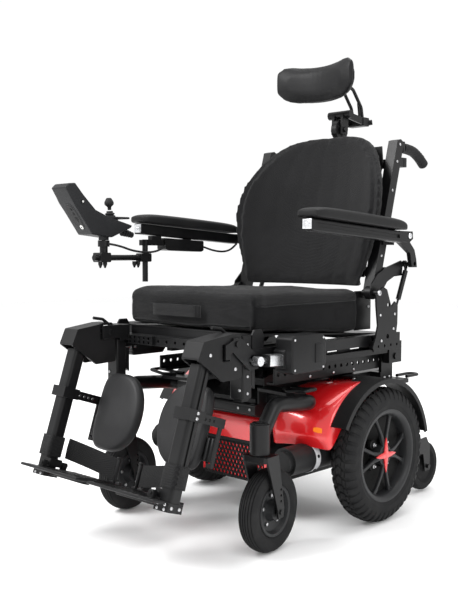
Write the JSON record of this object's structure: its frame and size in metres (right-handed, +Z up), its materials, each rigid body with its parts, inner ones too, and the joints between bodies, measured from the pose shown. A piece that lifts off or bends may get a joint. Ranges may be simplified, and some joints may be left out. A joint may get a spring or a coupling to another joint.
{
  "type": "power wheelchair",
  "caption": "Powered wheelchair with tilting seat, reclining back, raising leg rests, flip-up arms, headrest, side joystick and shrouded wheeled base.",
  "frame": {"origin": "on the floor under the middle of the chair's overall box", "axes": "+Z up, the chair faces -Y, the user's left is +X"},
  "size_m": [0.68, 1.1452, 1.2597],
  "materials": {
    "black_satin": "black satin powder coat",
    "red_gloss": "glossy metallic red",
    "black_plastic": "moulded black plastic",
    "grey_plastic": "textured dark grey plastic",
    "battery_case": "moulded case",
    "tyre": "grey-black tread",
    "rim": "dark grey satin",
    "motor": "black coated",
    "rubber": "moulded black rubber",
    "fabric": "woven charcoal cover",
    "cushion": "knitted black stretch cover",
    "foam_skin": "grained skin",
    "aluminium": "brushed"
  },
  "bodies": {
    "base": {"base_frame": "black_satin", "batteries": "battery_case", "front_grille": "black_plastic", "red_shrouds": "red_gloss", "fenders": "black_plastic", "drive_motors": "motor", "deck_cover": "black_plastic", "tie_down_loops": "black_satin", "antitip_arms": "black_satin", "caster_arms": "black_satin"},
    "seat": {"seat_frame": "black_satin", "seat_cushion": "cushion", "hanger_posts": "black_satin", "back_brackets": "black_satin", "power_module": "black_plastic"},
    "tilt_jack": {"tilt_actuator": "black_satin"},
    "tilt_jack_rod": {"tilt_rod": "black_satin"},
    "back": {"back_frame": "black_satin", "back_shell": "black_satin", "back_cushion": "fabric", "push_grips": "rubber", "headrest_bracket": "black_satin"},
    "arm_hinges": {"arm_brackets": "black_satin"},
    "arm_struts": {"arm_links": "black_satin"},
    "headrest_arm": {"headrest_link": "black_satin"},
    "headrest": {"headrest_pad": "fabric"},
    "arm_left": {"armrest_frame_left": "black_satin", "armrest_pad_left": "foam_skin"},
    "arm_right": {"armrest_frame_right": "black_satin", "armrest_pad_right": "foam_skin", "joystick_mount": "black_satin", "joystick_cable": "rubber"},
    "joystick": {"joystick_pod": "grey_plastic"},
    "stick_base": {"joystick_gaiter": "rubber"},
    "stick": {"joystick_knob": "rubber"},
    "button": {"power_button": "rubber"},
    "drive_wheel_left": {"drive_tyre_left": "tyre", "drive_rim_left": "rim"},
    "caster_fork_body_left": {"caster_fork_left": "black_satin"},
    "caster_wheel_left": {"caster_tyre_left": "tyre", "caster_rim_left": "rim"},
    "tip_wheel_left": {"antitip_wheel_left": "tyre"},
    "leg_left": {"knee_housing_left": "black_plastic", "leg_tube_left": "black_satin"},
    "footboard_left": {"footplate_left": "black_satin"},
    "calf_left": {"calf_pad_left": "foam_skin"},
    "leg_jack_left": {"leg_actuator_left": "grey_plastic"},
    "leg_jack_rod_left": {"leg_rod_left": "aluminium"},
    "drive_wheel_right": {"drive_tyre_right": "tyre", "drive_rim_right": "rim"},
    "caster_fork_body_right": {"caster_fork_right": "black_satin"},
    "caster_wheel_right": {"caster_tyre_right": "tyre", "caster_rim_right": "rim"},
    "tip_wheel_right": {"antitip_wheel_right": "tyre"},
    "leg_right": {"knee_housing_right": "black_plastic", "leg_tube_right": "black_satin"},
    "footboard_right": {"footplate_right": "black_satin"},
    "calf_right": {"calf_pad_right": "foam_skin"},
    "leg_jack_right": {"leg_actuator_right": "grey_plastic"},
    "leg_jack_rod_right": {"leg_rod_right": "aluminium"}
  },
  "joints": [
    {"name": "drive_spin_left", "type": "hinge", "parent": "base", "child": "drive_wheel_left", "pos_m": [0.304, 0.1676, 0.178], "axis": [1, 0, 0], "continuous": true},
    {"name": "caster_swivel_left", "type": "hinge", "parent": "base", "child": "caster_fork_body_left", "pos_m": [0.257, -0.2504, 0.238], "axis": [0, 0, 1], "continuous": true},
    {"name": "caster_spin_left", "type": "hinge", "parent": "caster_fork_body_left", "child": "caster_wheel_left", "pos_m": [0.25324, -0.2146, 0.1], "axis": [0.9945, 0.1045, 0], "continuous": true},
    {"name": "tip_spin_left", "type": "hinge", "parent": "base", "child": "tip_wheel_left", "pos_m": [0.235, 0.5006, 0.077], "axis": [1, 0, 0], "continuous": true},
    {"name": "drive_spin_right", "type": "hinge", "parent": "base", "child": "drive_wheel_right", "pos_m": [-0.304, 0.1676, 0.178], "axis": [1, 0, 0], "continuous": true},
    {"name": "caster_swivel_right", "type": "hinge", "parent": "base", "child": "caster_fork_body_right", "pos_m": [-0.257, -0.2504, 0.238], "axis": [0, 0, 1], "continuous": true},
    {"name": "caster_spin_right", "type": "hinge", "parent": "caster_fork_body_right", "child": "caster_wheel_right", "pos_m": [-0.26076, -0.2146, 0.1], "axis": [0.9945, 0.1045, 0], "continuous": true},
    {"name": "tip_spin_right", "type": "hinge", "parent": "base", "child": "tip_wheel_right", "pos_m": [-0.235, 0.5006, 0.077], "axis": [1, 0, 0], "continuous": true},
    {"name": "seat_tilt", "type": "hinge", "parent": "base", "child": "seat", "pos_m": [0, 0.3376, 0.418], "axis": [-1, 0, 0], "range_deg": [0, 45]},
    {"name": "tilt_jack_pivot", "type": "hinge", "parent": "base", "child": "tilt_jack", "pos_m": [0, -0.0424, 0.384], "axis": [1, 0, 0], "range_deg": [-1, 12]},
    {"name": "tilt_jack_extend", "type": "slide", "parent": "tilt_jack", "child": "tilt_jack_rod", "axis": [0, 0.9731, 0.2303], "range_m": [0, 0.064]},
    {"name": "back_recline", "type": "hinge", "parent": "seat", "child": "back", "pos_m": [0, 0.2176, 0.6], "axis": [-1, 0, 0], "range_deg": [0, 45]},
    {"name": "arm_level", "type": "hinge", "parent": "back", "child": "arm_hinges", "pos_m": [0, 0.2876, 0.753], "axis": [-1, 0, 0], "range_deg": [-45, 0]},
    {"name": "arm_strut_swing", "type": "hinge", "parent": "seat", "child": "arm_struts", "pos_m": [0, 0.3036, 0.524], "axis": [-1, 0, 0], "range_deg": [0, 45]},
    {"name": "arm_flip_left", "type": "hinge", "parent": "arm_hinges", "child": "arm_left", "pos_m": [0.304, 0.2876, 0.753], "axis": [-1, 0, 0], "range_deg": [0, 95]},
    {"name": "leg_raise_left", "type": "hinge", "parent": "seat", "child": "leg_left", "pos_m": [0.225, -0.3284, 0.503], "axis": [-1, 0, 0], "range_deg": [0, 65]},
    {"name": "leg_jack_pivot_left", "type": "hinge", "parent": "seat", "child": "leg_jack_left", "pos_m": [0.272, -0.0444, 0.451], "axis": [1, 0, 0], "range_deg": [-1, 8]},
    {"name": "leg_jack_extend_left", "type": "slide", "parent": "leg_jack_left", "child": "leg_jack_rod_left", "axis": [0, -0.9991, 0.0433], "range_m": [0, 0.068]},
    {"name": "footplate_flip_left", "type": "hinge", "parent": "leg_left", "child": "footboard_left", "pos_m": [0.2, -0.50429, 0.18519], "axis": [0, 0.9483, -0.3173], "range_deg": [0, 90]},
    {"name": "calf_swing_left", "type": "hinge", "parent": "leg_left", "child": "calf_left", "pos_m": [0.212, -0.36444, 0.25966], "axis": [0, -0.3173, -0.9483], "range_deg": [0, 60]},
    {"name": "arm_flip_right", "type": "hinge", "parent": "arm_hinges", "child": "arm_right", "pos_m": [-0.304, 0.2876, 0.753], "axis": [-1, 0, 0], "range_deg": [0, 95]},
    {"name": "leg_raise_right", "type": "hinge", "parent": "seat", "child": "leg_right", "pos_m": [-0.225, -0.3284, 0.503], "axis": [-1, 0, 0], "range_deg": [0, 65]},
    {"name": "leg_jack_pivot_right", "type": "hinge", "parent": "seat", "child": "leg_jack_right", "pos_m": [-0.272, -0.0444, 0.451], "axis": [1, 0, 0], "range_deg": [-1, 8]},
    {"name": "leg_jack_extend_right", "type": "slide", "parent": "leg_jack_right", "child": "leg_jack_rod_right", "axis": [0, -0.9991, 0.0433], "range_m": [0, 0.068]},
    {"name": "footplate_flip_right", "type": "hinge", "parent": "leg_right", "child": "footboard_right", "pos_m": [-0.2, -0.50429, 0.18519], "axis": [0, -0.9483, 0.3173], "range_deg": [0, 90]},
    {"name": "calf_swing_right", "type": "hinge", "parent": "leg_right", "child": "calf_right", "pos_m": [-0.212, -0.36444, 0.25966], "axis": [0, 0.3173, 0.9483], "range_deg": [0, 60]},
    {"name": "headrest_arm_tilt", "type": "hinge", "parent": "back", "child": "headrest_arm", "pos_m": [0, 0.3996, 1.075], "axis": [1, 0, 0], "range_deg": [-15, 30]},
    {"name": "headrest_tilt", "type": "hinge", "parent": "headrest_arm", "child": "headrest", "pos_m": [0, 0.3596, 1.214], "axis": [1, 0, 0], "range_deg": [-15, 20]},
    {"name": "joystick_swing", "type": "hinge", "parent": "arm_right", "child": "joystick", "pos_m": [-0.3, -0.2624, 0.745], "axis": [0, 0, -1], "range_deg": [0, 90]},
    {"name": "stick_fore_aft", "type": "hinge", "parent": "joystick", "child": "stick_base", "pos_m": [-0.308, -0.2324, 0.794], "axis": [1, 0, 0], "range_deg": [-18, 18], "stiffness_Nm_per_rad": 0.05},
    {"name": "stick_side", "type": "hinge", "parent": "stick_base", "child": "stick", "pos_m": [-0.308, -0.2324, 0.794], "axis": [0, 1, 0], "range_deg": [-18, 18], "stiffness_Nm_per_rad": 0.05},
    {"name": "button_press", "type": "slide", "parent": "joystick", "child": "button", "axis": [-1, 0, 0], "range_m": [0, 0.002], "stiffness_N_per_m": 200}
  ],
  "couplings": [
    {"joint": "tilt_jack_pivot", "follows": "seat_tilt", "ratio": 0.1275},
    {"joint": "tilt_jack_extend", "follows": "seat_tilt", "m_per_rad": 0.0743},
    {"joint": "arm_level", "follows": "back_recline", "ratio": -1},
    {"joint": "arm_strut_swing", "follows": "back_recline", "ratio": 1},
    {"joint": "leg_jack_pivot_left", "follows": "leg_raise_left", "ratio": 0.1025},
    {"joint": "leg_jack_extend_left", "follows": "leg_raise_left", "m_per_rad": 0.0579},
    {"joint": "leg_jack_pivot_right", "follows": "leg_raise_right", "ratio": 0.1025},
    {"joint": "leg_jack_extend_right", "follows": "leg_raise_right", "m_per_rad": 0.0579}
  ]
}
